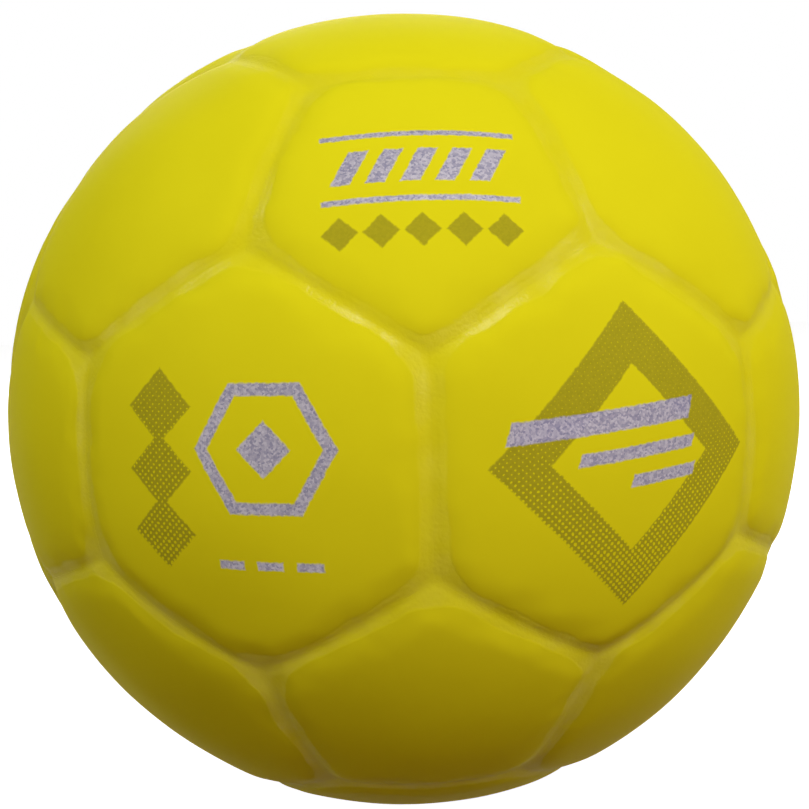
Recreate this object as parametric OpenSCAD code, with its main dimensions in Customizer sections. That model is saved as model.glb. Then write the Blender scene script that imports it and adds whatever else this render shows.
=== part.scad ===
// A size 3 handball: 32 foam-backed panels bonded edge to edge over a rubber-coated,
// thread-wound carcass, with a butyl bladder and a self-sealing valve inside.
// The origin is the centre of the ball. The axes are the three crossed two-fold axes of
// the panel pattern, so a joint between two hexagons crosses each axis at a right angle.
// All sizes are in millimetres.

/* [Ball] */
// Circumference over the crowns of the panels, inflated
ball_circumference = 590; // [560:1:620]

/* [Panels] */
// Thickness of the soft outer skin of a panel
skin_t = 1.1; // [0.8:0.1:1.5]
// Thickness of the foam pad under the skin
foam_t = 3.2; // [2.6:0.1:4.5]
// Depth of the valley at the joint between two panels
valley_depth = 1.6; // [1:0.1:2]
// Radius of the rolled edge between the crown and the joint
edge_r = 8; // [6:0.5:10]
// How much deeper the valley is where three panels meet
corner_drop = 0.6; // [0.4:0.1:0.8]
// Slope of a panel's corner where three panels meet, in degrees
corner_slope = 22; // [20:1:24]
// Gap between the side walls of two neighbouring panels, filled with adhesive
joint_gap = 0.1; // [0.05:0.01:0.2]

/* [Carcass] */
// Thickness of the moulded rubber layer that the panels are bonded to
rubber_t = 0.8; // [0.5:0.1:1.5]
// Thickness of the nylon thread winding
winding_t = 0.9; // [0.6:0.1:1.5]
// Wall of the butyl bladder
bladder_t = 1.0; // [0.7:0.1:1.5]
// Film of adhesive or latex between two layers
glue_film = 0.1; // [0.05:0.01:0.15]

/* [Valve] */
// Diameter of the inflating needle
needle_d = 2.0; // [1.8:0.1:2.2]
// Clearance round the needle in its guide hole
needle_clearance = 0.1; // [0.05:0.01:0.15]
// Depth of the needle guide, below which a closed slit seals the core
guide_depth = 12; // [10:0.5:13]
// Depth of the flared mouth that leads the needle in
mouth_depth = 0.8; // [0.4:0.1:1.2]
// Width by which the mouth flares past the guide hole
mouth_flare = 0.6; // [0.3:0.1:0.7]
// Radius of the core's shank
shank_r = 2.2; // [2:0.1:2.3]
// Length of the core's shank
shank_length = 8; // [6:0.5:9]
// Radius of the bulb that keeps the core in its housing
bulb_r = 3.1; // [2.8:0.1:3.4]
// Length of the bulb between its two tapers
bulb_length = 5; // [4:0.5:7]
// Length of the core's nose below the bulb
nose_length = 2.5; // [2:0.5:4]
// Clearance round the core in its housing
core_clearance = 0.05; // [0.02:0.01:0.08]
// Depth of the valve's face below the crown of its panel
valve_recess = 0.6; // [0.3:0.1:1]
// Wall of the collar round the core, in the hole of the valve panel
collar_wall = 1.0; // [0.7:0.1:1.4]
// Wall of the housing's barrel round the bulb
barrel_wall = 1.9; // [1.5:0.1:2.5]
// Thickness of the housing's floor under the core
floor_t = 1.5; // [1:0.1:2.5]
// Diameter of the vent in the housing's floor
vent_d = 3.0; // [2.5:0.1:3.5]
// Radius of the flange that is bonded inside the bladder
flange_r = 12; // [9:0.5:16]
// Thickness of the flange
flange_t = 1.2; // [0.8:0.1:2]
// Clearance round the housing in each layer that it passes through
neck_clearance = 0.15; // [0.05:0.05:0.3]

/* [Hidden] */
$fn = 96;

// Radii of the layers, from the crown inwards
ball_r = ball_circumference / (2 * PI);
panel_in_r = ball_r - skin_t - foam_t;
rubber_out_r = panel_in_r - glue_film;
rubber_in_r = rubber_out_r - rubber_t;
winding_out_r = rubber_in_r - glue_film;
winding_in_r = winding_out_r - winding_t;
bladder_out_r = winding_in_r - glue_film;
bladder_in_r = bladder_out_r - bladder_t;
flange_out_r = bladder_in_r - glue_film;

// Radii across the valve
guide_r = needle_d / 2 + needle_clearance;
collar_r = shank_r + core_clearance + collar_wall;
neck_r = bulb_r + core_clearance + barrel_wall;

// Heights along the valve's axis, from the centre of the ball
valve_face_z = ball_r - valve_recess;
shank_end_z = valve_face_z - shank_length;
taper_length = bulb_r - shank_r;
bulb_end_z = shank_end_z - bulb_length - 2 * taper_length;
nose_end_z = bulb_end_z - nose_length;
barrel_end_z = nose_end_z - core_clearance - floor_t;
neck_top_z = sqrt(rubber_out_r * rubber_out_r - neck_r * neck_r);

// Centre of the arc of the rolled edge, as [distance from the ball's centre in the plane of
// the joint, distance from that plane]. The arc touches the crown and ends in the valley.
crown_to_arc = ball_r - edge_r;
valley_r = ball_r - valley_depth;
roll_x = (pow(crown_to_arc, 2) + pow(valley_r, 2) - pow(edge_r, 2)) / (2 * valley_r);
roll_centre = [roll_x, sqrt(pow(crown_to_arc, 2) - pow(roll_x, 2))];
// Slope of the arc at the joint and at the crown
joint_slope = asin(roll_centre[1] / edge_r);
crown_slope = -atan2(roll_centre[1], roll_centre[0]);
// Where along the arc each facet of the rolled edge touches it
roll_shares = [1/4, 3/4];
// Radius at the bottom of the valley where three panels meet
corner_low_r = valley_r - corner_drop;

// How far a cutter runs past what it cuts
overrun = 1;

// Edge of a truncated icosahedron, as a share of the radius of the sphere round it
edge_share = 4 / sqrt(58 + 18 * sqrt(5));
golden = (1 + sqrt(5)) / 2;
pentagon_sides = 5;
hexagon_sides = 6;
// The direction of the valve: the middle of the upper hexagon at the back on the left
valve_heading = [-1, 1, 1];

yellow = [0.91, 0.87, 0.10];
foam_white = [0.93, 0.92, 0.86];
rubber_black = [0.10, 0.10, 0.10];
thread_white = [0.90, 0.89, 0.84];
bladder_black = [0.16, 0.15, 0.15];
core_grey = [0.30, 0.30, 0.31];

// Corners of an icosahedron: the centres of the twelve pentagons
ico_corners = [
    for (turn = [0:2], up = [1, -1], side = [1, -1])
        turned([0, -side * golden, up], turn)
];
ico_edge = 2;

// The twenty faces of the icosahedron, as triples of corners: the hexagons
ico_faces = [
    for (i = [0:11], j = [i + 1:1:11], k = [j + 1:1:11])
        if (joined(i, j) && joined(j, k) && joined(i, k)) [i, j, k]
];

function turned(v, turn) = turn == 0 ? v : turned([v[2], v[0], v[1]], turn - 1);
function unit(v) = v / norm(v);
function joined(i, j) = abs(norm(ico_corners[i] - ico_corners[j]) - ico_edge) < ico_edge / 100;
function first_neighbour(i) = [for (j = [0:11]) if (joined(i, j)) j][0];
function face_centre(face) = unit(ico_corners[face[0]] + ico_corners[face[1]] + ico_corners[face[2]]);
// A corner of the panels: a third of the way along the icosahedron's edge from i to j
function panel_corner(i, j) = unit(2 * ico_corners[i] + ico_corners[j]);

// Angle at the ball's centre from a panel's axis to its corners, and to its sides
function corner_angle(sides) = asin(edge_share / (2 * sin(180 / sides)));
function side_angle(sides) = atan(tan(corner_angle(sides)) * cos(180 / sides));

// The place of each panel: its axis and the direction of one of its corners
pentagon_places = [for (i = [0:11]) [unit(ico_corners[i]), panel_corner(i, first_neighbour(i))]];
hexagon_places = [for (face = ico_faces) [face_centre(face), panel_corner(face[0], face[1])]];

// The hexagon with the valve, and the rest
function has_valve(place) = place[0] * unit(valve_heading) > cos(side_angle(hexagon_sides));
valve_place = [for (place = hexagon_places) if (has_valve(place)) place][0];
plain_places = [for (place = hexagon_places) if (!has_valve(place)) place];

function numbered(name, count) = str(name, count < 10 ? "0" : "", count);
pentagon_names = [for (i = [1:len(pentagon_places)]) numbered("pentagon_panel_", i)];
hexagon_names = [for (i = [1:len(plain_places)]) numbered("hexagon_panel_", i)];

// Turns a piece modelled about +Z, with a corner towards +X, to its place on the ball
module at_place(place) {
    z = place[0];
    x = unit(place[1] - z * (place[1] * z));
    y = cross(z, x);
    multmatrix([
        [x[0], y[0], z[0], 0],
        [x[1], y[1], z[1], 0],
        [x[2], y[2], z[2], 0]
    ]) children();
}

// A ball with its poles on the Y axis, away from the panel that is cut from it about +Z
module ball(r) {
    rotate([90, 0, 0])
        sphere(r = r);
}

// Turns a shape to one side or corner of a panel, `lean` degrees from the panel's axis, so
// that +X points at that side or corner and +Z from it towards the middle of the panel
module at_edge(turn, lean) {
    rotate([0, 0, turn])
        rotate([0, lean - 90, 0])
            children();
}

// A round piece of the shell between two radii, just wider than a panel
module panel_blank(sides, out_r, in_r) {
    difference() {
        intersection() {
            ball(out_r);
            cylinder(r = ball_r * sin(corner_angle(sides)) + overrun, h = ball_r + overrun);
        }
        ball(in_r);
    }
}

// The part of a panel from `depth_in` below its outer surface down to the radius `in_r`.
// Its sides stand `inset` in from the joints. Each call cuts one side and one corner.
module panel_layer(sides, depth_in, inset, in_r, side = 0) {
    turn = 360 / sides;
    intersection() {
        if (side < sides - 1)
            panel_layer(sides, depth_in, inset, in_r, side + 1);
        else
            panel_blank(sides, ball_r - depth_in, in_r);
        at_edge((side + 0.5) * turn, side_angle(sides))
            rolled_side(depth_in, inset);
        at_edge(side * turn, corner_angle(sides))
            roll_ball(corner_low_r * tan(corner_slope), corner_low_r / cos(corner_slope) - depth_in);
    }
}

// What a panel may fill beside one of its joints: above the plane of its side wall, and
// within balls that each touch the arc of the rolled edge. Their centres lie on the
// normal of the joint's plane, so the edge keeps one form along the whole joint.
module rolled_side(depth_in, inset) {
    width = 4 * ball_r;
    intersection() {
        translate([-width / 2, -width / 2, inset])
            cube(width);
        intersection_for (share = roll_shares) {
            slope = crown_slope + share * (joint_slope - crown_slope);
            touch = roll_centre + edge_r * [cos(slope), -sin(slope)];
            roll_ball(touch[1] + touch[0] * tan(slope), touch[0] / cos(slope) - depth_in);
        }
    }
}

// A ball whose surface rolls down towards +X, with its seam on the far side
module roll_ball(centre_z, r) {
    translate([0, 0, centre_z])
        rotate([0, 0, 180])
            sphere(r = r);
}

// The skin wraps over the foam and down the side walls of the panel
module panel_skin(sides) {
    difference() {
        panel_layer(sides, 0, joint_gap / 2, panel_in_r);
        panel_layer(sides, skin_t, joint_gap / 2 + skin_t, panel_in_r - overrun);
    }
}

module foam_pad(sides) {
    lining = skin_t + glue_film;
    panel_layer(sides, lining, joint_gap / 2 + lining, panel_in_r);
}

module pentagon_panel(place) {
    color(yellow)
        at_place(place)
            panel_skin(pentagon_sides);
}

module hexagon_panel(place) {
    color(yellow)
        at_place(place)
            panel_skin(hexagon_sides);
}

module valve_panel() {
    color(yellow)
        at_place(valve_place)
            difference() {
                panel_skin(hexagon_sides);
                valve_hole(collar_r);
            }
}

module pentagon_foam_pads() {
    color(foam_white)
        for (place = pentagon_places)
            at_place(place)
                foam_pad(pentagon_sides);
}

module hexagon_foam_pads() {
    color(foam_white) {
        for (place = plain_places)
            at_place(place)
                foam_pad(hexagon_sides);
        at_place(valve_place)
            difference() {
                foam_pad(hexagon_sides);
                valve_hole(collar_r);
            }
    }
}

// A hole from the middle of the ball outwards, just wider than the valve's neck or collar
module valve_hole(r) {
    cylinder(r = r + neck_clearance, h = ball_r + overrun);
}

// A hollow ball with a hole for the neck of the valve housing
module layer(out_r, in_r) {
    at_place(valve_place)
        difference() {
            ball(out_r);
            ball(in_r);
            valve_hole(neck_r);
        }
}

module rubber_carcass() {
    color(rubber_black)
        layer(rubber_out_r, rubber_in_r);
}

module thread_winding() {
    color(thread_white)
        layer(winding_out_r, winding_in_r);
}

module bladder() {
    color(bladder_black)
        layer(bladder_out_r, bladder_in_r);
}

// The core, grown by `grow` for the space that it fills in its housing, up to `top_z`
module core_form(grow, top_z) {
    r = shank_r + grow;
    big_r = bulb_r + grow;
    rotate_extrude()
        polygon([
            [0, nose_end_z - grow],
            [r, nose_end_z - grow],
            [r, bulb_end_z],
            [big_r, bulb_end_z + taper_length],
            [big_r, shank_end_z - taper_length],
            [r, shank_end_z],
            [r, top_z],
            [0, top_z]
        ]);
}

module valve_core() {
    flare_length = mouth_depth + overrun;
    color(core_grey)
        at_place(valve_place)
            difference() {
                core_form(0, valve_face_z);
                translate([0, 0, valve_face_z - guide_depth])
                    cylinder(r = guide_r, h = guide_depth + overrun);
                translate([0, 0, valve_face_z - mouth_depth])
                    cylinder(
                        r1 = guide_r,
                        r2 = guide_r + mouth_flare * flare_length / mouth_depth,
                        h = flare_length
                    );
            }
}

module valve_housing() {
    color(rubber_black)
        at_place(valve_place)
            difference() {
                union() {
                    flange();
                    translate([0, 0, barrel_end_z]) {
                        cylinder(r = neck_r, h = neck_top_z - barrel_end_z);
                        cylinder(r = collar_r, h = valve_face_z - barrel_end_z);
                    }
                }
                core_form(core_clearance, valve_face_z + overrun);
                translate([0, 0, barrel_end_z - overrun])
                    cylinder(d = vent_d, h = floor_t + core_clearance + 2 * overrun);
            }
}

// The dished flange that is bonded to the inside of the bladder
module flange() {
    difference() {
        intersection() {
            ball(flange_out_r);
            cylinder(r = flange_r, h = ball_r);
        }
        ball(flange_out_r - flange_t);
    }
}

for (i = [0:len(pentagon_places) - 1])
    pentagon_panel(pentagon_places[i]);
for (i = [0:len(plain_places) - 1])
    hexagon_panel(plain_places[i]);
valve_panel();
pentagon_foam_pads();
hexagon_foam_pads();
rubber_carcass();
thread_winding();
bladder();
valve_housing();
valve_core();
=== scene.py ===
"""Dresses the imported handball: puffed panels of foamed skin over a wound carcass, and its valve.

Everything is in metres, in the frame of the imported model. The origin is the centre of the ball,
-Y faces the photographer and +Z is up.
"""
import logging
import math
from dataclasses import asdict, dataclass, fields, replace
from enum import Enum

import bmesh
import bpy
from mathutils import Matrix, Quaternion, Vector


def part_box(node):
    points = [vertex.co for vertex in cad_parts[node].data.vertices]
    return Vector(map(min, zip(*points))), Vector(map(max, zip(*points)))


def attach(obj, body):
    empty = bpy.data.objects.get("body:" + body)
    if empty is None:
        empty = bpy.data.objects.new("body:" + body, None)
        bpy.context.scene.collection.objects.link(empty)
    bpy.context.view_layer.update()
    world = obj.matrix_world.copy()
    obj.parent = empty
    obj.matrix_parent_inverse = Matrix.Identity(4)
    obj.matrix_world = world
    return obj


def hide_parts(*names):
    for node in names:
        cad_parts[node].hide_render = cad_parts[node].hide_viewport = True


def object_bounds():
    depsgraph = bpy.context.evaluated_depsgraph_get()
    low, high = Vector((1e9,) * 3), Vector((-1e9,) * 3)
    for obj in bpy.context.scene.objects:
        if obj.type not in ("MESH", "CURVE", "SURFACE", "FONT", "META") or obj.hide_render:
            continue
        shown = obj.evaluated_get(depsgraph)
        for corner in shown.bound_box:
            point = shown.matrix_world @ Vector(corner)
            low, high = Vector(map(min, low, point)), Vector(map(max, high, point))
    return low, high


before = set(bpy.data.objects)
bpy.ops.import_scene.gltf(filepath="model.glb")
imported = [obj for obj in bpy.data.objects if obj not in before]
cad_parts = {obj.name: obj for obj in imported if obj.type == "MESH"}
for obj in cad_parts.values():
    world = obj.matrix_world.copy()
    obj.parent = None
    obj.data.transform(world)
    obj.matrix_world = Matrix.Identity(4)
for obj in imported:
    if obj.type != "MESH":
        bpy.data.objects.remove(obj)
CAD_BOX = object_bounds()

LOG = logging.getLogger("handball")
MM = 0.001
IMAGE_PX = 809
SENSOR_MM = 36.0

MATH = "ShaderNodeMath"
VECTOR_MATH = "ShaderNodeVectorMath"
SEPARATE = "ShaderNodeSeparateXYZ"
COMBINE = "ShaderNodeCombineXYZ"
MAP_RANGE = "ShaderNodeMapRange"
MIX = "ShaderNodeMix"
MIX_FIRST, MIX_SECOND, MIX_RESULT = 6, 7, 2
NOISE = "ShaderNodeTexNoise"
CELLS = "ShaderNodeTexVoronoi"
BUMP = "ShaderNodeBump"

FLOAT = "NodeSocketFloat"
INTEGER = "NodeSocketInt"
VECTOR = "NodeSocketVector"
GEOMETRY = "NodeSocketGeometry"
MATERIAL = "NodeSocketMaterial"

NOISE_MIDDLE = (0.5, 0.5, 0.5)

SEAM = "seam"
VALVE_PANEL = "valve_panel"

Tree = bpy.types.NodeTree
Node = bpy.types.Node
Socket = bpy.types.NodeSocket
Sockets = bpy.types.bpy_prop_collection
Source = Socket | Node | float | tuple | str | None


def add_node(tree: Tree, kind: str, *sources: Source,
             named: dict[str, Source] | None = None, **settings: object) -> Node:
    """Adds a node to a tree, with its settings and what feeds its inputs.

    Args:
        tree: The node tree that gets the node.
        kind: The node's type name.
        *sources: What feeds the inputs in their order: a socket, a node for its first output,
            a plain value, or None to leave that input alone.
        named: The same for inputs that are told by name.
        **settings: Properties of the node.

    Returns:
        The new node.
    """
    node = tree.nodes.new(kind)
    for name, value in settings.items():
        setattr(node, name, value)
    fed = [(node.inputs[i], source) for i, source in enumerate(sources)]
    fed += [(node.inputs[name], source) for name, source in (named or {}).items()]
    for socket, source in fed:
        if isinstance(source, Node):
            source = source.outputs[0]
        if isinstance(source, Socket):
            tree.links.new(source, socket)
        elif source is not None:
            socket.default_value = source
    return node


def new_tree(name: str, inputs: dict[str, str], outputs: dict[str, str]) -> tuple[Tree, Node]:
    """Makes an empty geometry tree with named inputs and outputs.

    Args:
        name: The tree's name.
        inputs: The kind of each input socket, by name.
        outputs: The kind of each output socket, by name.

    Returns:
        The tree, and its group input node.
    """
    tree = bpy.data.node_groups.new(name, "GeometryNodeTree")
    for socket, kind in inputs.items():
        tree.interface.new_socket(name=socket, in_out="INPUT", socket_type=kind)
    for socket, kind in outputs.items():
        tree.interface.new_socket(name=socket, in_out="OUTPUT", socket_type=kind)
    return tree, tree.nodes.new("NodeGroupInput")


def linear(colour: str) -> tuple[float, float, float, float]:
    """Turns an sRGB hex colour such as #E6DC14 into linear RGBA.

    Args:
        colour: The colour, with its leading mark.

    Returns:
        Linear red, green and blue, and an alpha of 1.
    """
    parts = [int(colour[i:i + 2], 16) / 255 for i in (1, 3, 5)]
    toe, slope, offset, power = 0.04045, 12.92, 0.055, 2.4
    red, green, blue = (c / slope if c <= toe else ((c + offset) / (1 + offset)) ** power
                        for c in parts)
    return red, green, blue, 1.0


# The panel pattern


class PanelKind(Enum):
    """The two outlines of panel on the ball, by their number of sides."""

    PENTAGON = 5
    HEXAGON = 6


class Station(Enum):
    """Where a panel's section turns, as shares out to the joint, down to the lining and to the foot."""

    CROWN = (0, 0, 0)
    RIM = (1, 0, 0)
    FOOT = (1, 0, 1)
    LINING_FOOT = (1, 1, 1)
    LINING_RIM = (1, 1, 0)
    LINING_CROWN = (0, 1, 0)
    FOOT_MIDDLE = (0, 0, 1)


@dataclass(frozen=True)
class Place:
    """Where a panel sits: its axis, the direction of one corner, and its outline."""

    kind: PanelKind
    axis: Vector
    corner: Vector


@dataclass(frozen=True)
class PanelPattern:
    """The truncated icosahedron: 12 pentagons and 20 hexagons, with its two-fold axes on X, Y and Z."""

    golden: float = (1 + math.sqrt(5)) / 2
    edge: float = 2.0
    slack: float = 1.01

    def corners(self) -> list[Vector]:
        """Gives the twelve corners of the icosahedron, which are the pentagons' axes."""
        first = [(0, -side * self.golden, up) for up in (1, -1) for side in (1, -1)]
        return [Vector((v[(0 - t) % 3], v[(1 - t) % 3], v[(2 - t) % 3])) for t in range(3) for v in first]

    def places(self) -> list[Place]:
        """Works out the places of all panels.

        Returns:
            The 12 pentagons and then the 20 hexagons.
        """
        points = self.corners()
        reach = self.edge * self.slack
        near = {i: [j for j, q in enumerate(points) if j != i and (q - p).length < reach]
                for i, p in enumerate(points)}
        pentagons = [Place(PanelKind.PENTAGON, p.normalized(), (2 * p + points[near[i][0]]).normalized())
                     for i, p in enumerate(points)]
        faces = [(i, j, k) for i in near for j in near[i] for k in near[i]
                 if i < j < k and k in near[j]]
        hexagons = [Place(PanelKind.HEXAGON, (points[i] + points[j] + points[k]).normalized(),
                          (2 * points[i] + points[j]).normalized())
                    for i, j, k in faces]
        return pentagons + hexagons


# The surface of the cover


@dataclass(frozen=True)
class Relief:
    """The soft relief of the cover, in metres: rolled edges, pressed channels and an uneven skin."""

    roll_depth: float = 1.15 * MM
    roll_width: float = 8.0 * MM
    roll_power: float = 2.2
    roll_round: float = 1.0 * MM
    channel_depth: float = 0.04 * MM
    channel_floor: float = 0.7 * MM
    channel_wall: float = 0.75 * MM
    lip_wander: float = 0.22 * MM
    lip_length: float = 2.6 * MM
    corner_dip: float = 0.15 * MM
    corner_spread: float = 3.0 * MM
    dimple_depth: float = 0.0
    dimple_spread: float = 6.5 * MM
    wave_height: float = 0.22 * MM
    wave_length: float = 34.0 * MM
    uneven_share: float = 0.28
    uneven_length: float = 9.0 * MM


@dataclass(frozen=True)
class PanelSizes(Relief):
    """Everything that a panel's tree is told: its outline, its layers, its place and its relief."""

    sides: int = 6
    segments: int = 48
    ball_radius: float = 94.0 * MM
    inner_radius: float = 90.0 * MM
    outer_layer: float = 0.0
    wall: float = 1.0 * MM
    joint_inset: float = 0.005 * MM
    hole_radius: float = 0.0
    axis: Vector = Vector((0.0, 0.0, 1.0))
    corner: Vector = Vector((1.0, 0.0, 1.0))

    @staticmethod
    def socket_name(field_name: str) -> str:
        """Gives the tree's input for a field, such as Ball Radius for ball_radius."""
        return field_name.replace("_", " ").title()

    @classmethod
    def sockets(cls) -> dict[str, str]:
        """Gives the kind of each input of the tree, by its name."""
        kinds = {int: INTEGER, float: FLOAT, Vector: VECTOR}
        return {cls.socket_name(each.name): kinds[each.type] for each in fields(cls)}

    def inputs(self) -> dict[str, object]:
        """Gives the value of each input of the tree, by its name."""
        return {self.socket_name(each.name): getattr(self, each.name) for each in fields(self)}


@dataclass(frozen=True)
class Layers:
    """The cover's layers, in metres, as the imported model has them."""

    circumference: float = 590.0 * MM
    skin: float = 1.1 * MM
    foam: float = 3.2 * MM
    joint_gap: float = 0.1 * MM
    glue_film: float = 0.1 * MM
    valve_hole: float = 3.4 * MM
    valve_dimple: float = 0.45 * MM

    @property
    def ball_radius(self) -> float:
        """Radius over the crowns."""
        return self.circumference / math.tau

    @property
    def inner_radius(self) -> float:
        """Radius of the underside of the panels."""
        return self.ball_radius - self.skin - self.foam


class PanelTree:
    """The geometry tree of a puffed panel: strips swept round the panel along its closed section."""

    EDGE_SHARE = 4 / math.sqrt(58 + 18 * math.sqrt(5))
    NOISE_LOW, NOISE_HIGH = 0.25, 0.75
    RIM_CROWDING = 2.2
    MERGE = 0.001 * MM
    CREASE = math.radians(40)

    def __init__(self, name: str, section: tuple[Station, ...], rings: tuple[int, ...]) -> None:
        """Builds the tree.

        Args:
            name: The tree's name.
            section: The stations round the panel's section, in order.
            rings: Strips' ring counts, from each station to the next, and back to the first.
        """
        self.relief = self._relief_tree()
        self.strip = self._strip_tree()
        self.tree = self._panel_tree(name, section, rings)

    def _angles(self, tree: Tree, sides: Source) -> tuple[Node, Node, Node]:
        """Adds the nodes for the angles of a panel's outline, seen from the centre of the ball.

        Args:
            tree: The tree that gets them.
            sides: What gives the number of sides.

        Returns:
            Nodes with half the turn of one side round the axis, the angle from the axis to a
            corner, and the angle from the axis to a side.
        """
        half = add_node(tree, MATH, math.pi, sides, operation="DIVIDE")
        sine = add_node(tree, MATH, half, operation="SINE")
        ratio = add_node(tree, MATH, self.EDGE_SHARE / 2, sine, operation="DIVIDE")
        corner_angle = add_node(tree, MATH, ratio, operation="ARCSINE")
        tangent = add_node(tree, MATH, corner_angle, operation="TANGENT")
        cosine = add_node(tree, MATH, half, operation="COSINE")
        apothem = add_node(tree, MATH, tangent, cosine, operation="MULTIPLY")
        return half, corner_angle, add_node(tree, MATH, apothem, operation="ARCTANGENT")

    def _relief_tree(self) -> Tree:
        """Builds the group for the dip of the skin below the ball's crown radius.

        Returns:
            The group. It takes a direction from the centre in three frames: folded to one side of
            the panel, about the panel's axis, and in the ball's own frame.
        """
        tree, given = new_tree(
            "Cover relief",
            {**PanelSizes.sockets(), "Folded Way": VECTOR, "Local Way": VECTOR, "Ball Way": VECTOR},
            {"Dip": FLOAT, "Seam": FLOAT},
        )
        size = given.outputs
        half, corner_angle, side_angle = self._angles(tree, size["Sides"])
        spot = add_node(tree, VECTOR_MATH, size["Ball Way"], operation="SCALE",
                        named={"Scale": size["Ball Radius"]})
        wave_low = add_node(tree, MATH, size["Wave Height"], -1.0, operation="MULTIPLY")
        swell = self._noise(tree, spot, size["Wave Length"], size["Wave Height"], wave_low)
        roll, channel = self._edge_shares(tree, size, spot, half, side_angle)
        dip = add_node(tree, MATH, roll, size["Roll Depth"], swell, operation="MULTIPLY_ADD")
        dip = add_node(tree, MATH, channel, size["Channel Depth"], dip, operation="MULTIPLY_ADD")
        to_corner = self._to_corner(tree, size, half, corner_angle)
        flattened = add_node(tree, VECTOR_MATH, size["Local Way"], (1.0, 1.0, 0.0), operation="MULTIPLY")
        to_axis = add_node(tree, VECTOR_MATH, flattened, operation="LENGTH").outputs["Value"]
        for distance, spread, depth in ((to_corner, size["Corner Spread"], size["Corner Dip"]),
                                        (to_axis, size["Dimple Spread"], size["Dimple Depth"])):
            away = add_node(tree, MATH, distance, size["Ball Radius"], operation="MULTIPLY")
            share = add_node(tree, MATH, away, spread, operation="DIVIDE")
            square = add_node(tree, MATH, share, share, operation="MULTIPLY")
            falling = add_node(tree, MATH, square, -1.0, operation="MULTIPLY")
            bell = add_node(tree, MATH, falling, operation="EXPONENT")
            dip = add_node(tree, MATH, bell, depth, dip, operation="MULTIPLY_ADD")
        add_node(tree, "NodeGroupOutput", dip, roll)
        return tree

    def _edge_shares(self, tree: Tree, size: Sockets, spot: Node, half: Node, side_angle: Node
                     ) -> tuple[Node, Node]:
        """Adds the nodes for how far the skin is rolled down and pressed in beside a joint.

        Args:
            tree: The tree that gets them.
            size: The outputs of the tree's group input.
            spot: The node with the point on the ball, in metres.
            half: The node with half the turn of one side round the axis.
            side_angle: The node with the angle from the axis to a side.

        Returns:
            The nodes with the shares of the roll and of the channel, where the shares of the
            nearest side and of its two neighbours run together smoothly.
        """
        least = add_node(tree, MATH, 1.0, size["Uneven Share"], operation="SUBTRACT")
        most = add_node(tree, MATH, 1.0, size["Uneven Share"], operation="ADD")
        stretch = self._noise(tree, spot, size["Uneven Length"], least, most)
        roll_width = add_node(tree, MATH, size["Roll Width"], stretch, operation="MULTIPLY")
        floor = add_node(tree, MATH, size["Channel Floor"], stretch, operation="MULTIPLY")
        lip = add_node(tree, MATH, floor, size["Channel Wall"], operation="ADD")
        inner = add_node(tree, MATH, size["Lip Wander"], -1.0, operation="MULTIPLY")
        wander = self._noise(tree, spot, size["Lip Length"], inner, size["Lip Wander"])
        side_cosine = add_node(tree, MATH, side_angle, operation="COSINE")
        side_sine = add_node(tree, MATH, side_angle, operation="SINE")
        inward = add_node(tree, MATH, side_cosine, -1.0, operation="MULTIPLY")
        side_normal = add_node(tree, COMBINE, inward, 0.0, side_sine)
        unrolled, unpressed = 1.0, 1.0
        for halves in (-2.0, 0.0, 2.0):
            angle = add_node(tree, MATH, half, halves, operation="MULTIPLY")
            normal = add_node(tree, "ShaderNodeVectorRotate", rotation_type="Z_AXIS",
                              named={"Vector": side_normal, "Angle": angle})
            height = add_node(tree, VECTOR_MATH, size["Folded Way"], normal, operation="DOT_PRODUCT")
            lean = add_node(tree, MATH, height.outputs["Value"], operation="ARCSINE")
            away = add_node(tree, MATH, lean, size["Ball Radius"], operation="MULTIPLY")
            legs = add_node(tree, COMBINE, away, size["Roll Round"])
            rounded = add_node(tree, VECTOR_MATH, legs, operation="LENGTH").outputs["Value"]
            near = add_node(tree, MAP_RANGE, rounded, 0.0, roll_width, 1.0, 0.0)
            rolled = add_node(tree, MATH, near, size["Roll Power"], operation="POWER")
            ragged = add_node(tree, MATH, away, wander, operation="ADD")
            pressed = add_node(tree, MAP_RANGE, ragged, floor, lip, 1.0, 0.0,
                               interpolation_type="SMOOTHSTEP")
            flat = add_node(tree, MATH, 1.0, rolled, operation="SUBTRACT")
            unrolled = add_node(tree, MATH, unrolled, flat, operation="MULTIPLY")
            proud = add_node(tree, MATH, 1.0, pressed, operation="SUBTRACT")
            unpressed = add_node(tree, MATH, unpressed, proud, operation="MULTIPLY")
        return (add_node(tree, MATH, 1.0, unrolled, operation="SUBTRACT"),
                add_node(tree, MATH, 1.0, unpressed, operation="SUBTRACT"))

    @staticmethod
    def _to_corner(tree: Tree, size: Sockets, half: Node, corner_angle: Node) -> Socket:
        """Adds the nodes for the distance to the panel's nearest corner.

        Args:
            tree: The tree that gets them.
            size: The outputs of the tree's group input.
            half: The node with half the turn of one side round the axis.
            corner_angle: The node with the angle from the axis to a corner.

        Returns:
            The socket with the distance, in ball radii.
        """
        reach = add_node(tree, MATH, corner_angle, operation="SINE")
        height = add_node(tree, MATH, corner_angle, operation="COSINE")
        cosine = add_node(tree, MATH, half, operation="COSINE")
        sine = add_node(tree, MATH, half, operation="SINE")
        x = add_node(tree, MATH, reach, cosine, operation="MULTIPLY")
        y = add_node(tree, MATH, reach, sine, operation="MULTIPLY")
        corner = add_node(tree, COMBINE, x, y, height)
        mirrored = add_node(tree, VECTOR_MATH, size["Folded Way"], operation="ABSOLUTE")
        return add_node(tree, VECTOR_MATH, mirrored, corner, operation="DISTANCE").outputs["Value"]

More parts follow.
